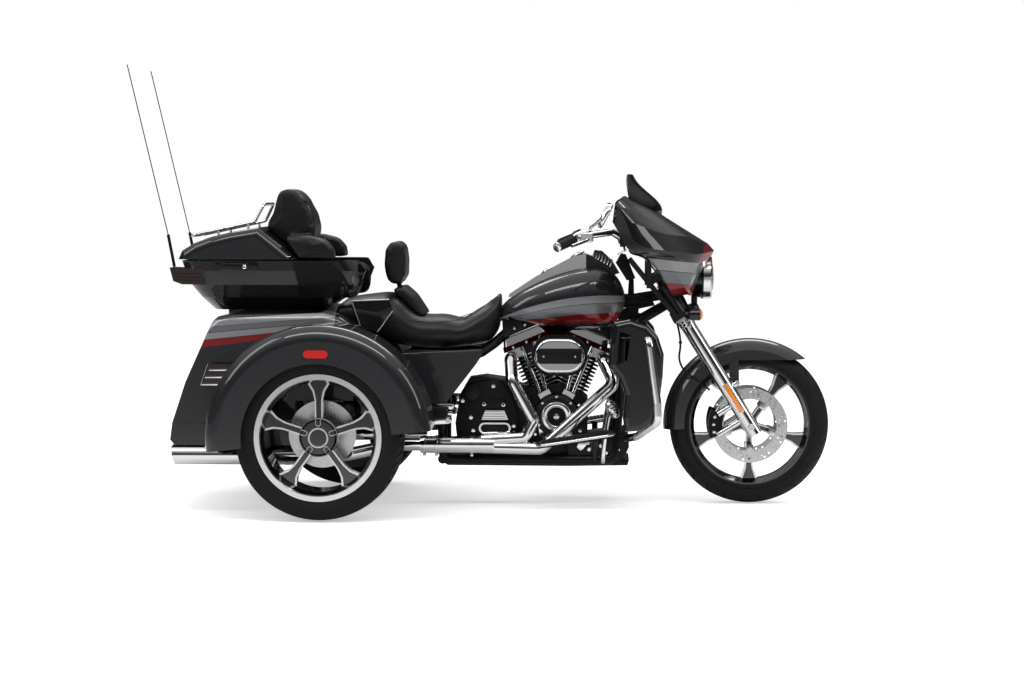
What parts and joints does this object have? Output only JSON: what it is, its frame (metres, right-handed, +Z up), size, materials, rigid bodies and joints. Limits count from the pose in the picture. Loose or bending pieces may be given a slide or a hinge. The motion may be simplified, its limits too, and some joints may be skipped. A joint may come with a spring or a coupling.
{
  "type": "motorized trike",
  "caption": "Touring motor trike with one steered front wheel, two rear wheels, a finned V-twin engine, a fork-mounted fairing, a trunk with a rear door and a luggage case with a hinged lid.",
  "frame": {"origin": "on the ground, under the middle of the whole machine", "axes": "+X forward, +Y to the rider's left, +Z up"},
  "size_m": [2.7843, 1.3846, 1.7525],
  "materials": {
    "tyre_rubber": "matte",
    "wheel_alloy": "machined and polished",
    "rotor_steel": "ground",
    "frame_black": "gloss",
    "engine_alloy": "cast, satin painted",
    "band_red": "gloss",
    "engine_chrome": "mirror polished",
    "trim_black": "gloss",
    "body_charcoal": "metallic gloss with clear coat",
    "panel_black": "gloss",
    "seat_leather": "grained, satin",
    "plate_white": "blank, satin",
    "lamp_red": "clear red",
    "smoke_screen": "smoked",
    "lamp_glass": "clear",
    "grip_rubber": "ribbed, matte"
  },
  "bodies": {
    "chassis": {"air_cleaner": "trim_black", "air_cleaner_cover": "engine_chrome", "antennas": "trim_black", "cylinders": "engine_alloy", "engine_cases": "engine_alloy", "engine_covers": "engine_chrome", "engine_guard": "engine_chrome", "exhaust_pipes": "engine_chrome", "foot_controls": "engine_chrome", "footboards": "trim_black", "frame": "frame_black", "fuel_tank": "body_charcoal", "lower_fairings": "body_charcoal", "luggage_box": "panel_black", "mufflers": "engine_chrome", "pushrod_tubes": "engine_chrome", "rear_axle": "frame_black", "rear_body": "body_charcoal", "rear_fenders": "body_charcoal", "rear_lamps": "lamp_red", "rider_backrest": "seat_leather", "rocker_bands": "band_red", "rocker_covers": "engine_chrome", "seat": "seat_leather", "side_covers": "panel_black", "tank_console": "engine_chrome"},
    "steering": {"fork": "engine_chrome", "front_fender": "body_charcoal", "front_brakes": "trim_black", "fairing": "body_charcoal", "inner_fairing": "trim_black", "windscreen": "smoke_screen", "headlamp": "engine_chrome", "headlamp_lens": "lamp_glass", "turn_signals": "engine_chrome", "handlebar": "engine_chrome", "hand_controls": "engine_chrome", "grips": "grip_rubber", "mirrors": "engine_chrome"},
    "front_wheel": {"front_tyre": "tyre_rubber", "front_rim": "wheel_alloy", "front_rotors": "rotor_steel"},
    "rear_wheel_left": {"rear_tyre_left": "tyre_rubber", "rear_rim_left": "wheel_alloy", "rear_rotor_left": "rotor_steel"},
    "rear_wheel_right": {"rear_tyre_right": "tyre_rubber", "rear_rim_right": "wheel_alloy", "rear_rotor_right": "rotor_steel"},
    "trunk_door": {"trunk_door": "body_charcoal", "plate_holder": "plate_white"},
    "luggage_lid": {"luggage_lid": "body_charcoal", "passenger_backrest": "seat_leather", "luggage_rack": "engine_chrome"}
  },
  "joints": [
    {"name": "steering", "type": "hinge", "parent": "chassis", "child": "steering", "pos_m": [1.17285, 0, 0], "axis": [-0.4384, 0, 0.8988], "range_deg": [-30, 30]},
    {"name": "front_wheel_spin", "type": "hinge", "parent": "steering", "child": "front_wheel", "pos_m": [1.07285, 0, 0.3193], "axis": [0, 1, 0], "continuous": true},
    {"name": "rear_wheel_left_spin", "type": "hinge", "parent": "chassis", "child": "rear_wheel_left", "pos_m": [-0.59715, 0.536, 0.322], "axis": [0, 1, 0], "continuous": true},
    {"name": "rear_wheel_right_spin", "type": "hinge", "parent": "chassis", "child": "rear_wheel_right", "pos_m": [-0.59715, -0.536, 0.322], "axis": [0, 1, 0], "continuous": true},
    {"name": "trunk_door_hinge", "type": "hinge", "parent": "chassis", "child": "trunk_door", "pos_m": [-1.17669, 0, 0.381], "axis": [0, -1, 0], "range_deg": [0, 90]},
    {"name": "luggage_lid_hinge", "type": "hinge", "parent": "chassis", "child": "luggage_lid", "pos_m": [-0.95315, 0.294, 0.98475], "axis": [-1, 0, 0], "range_deg": [0, 75]}
  ]
}
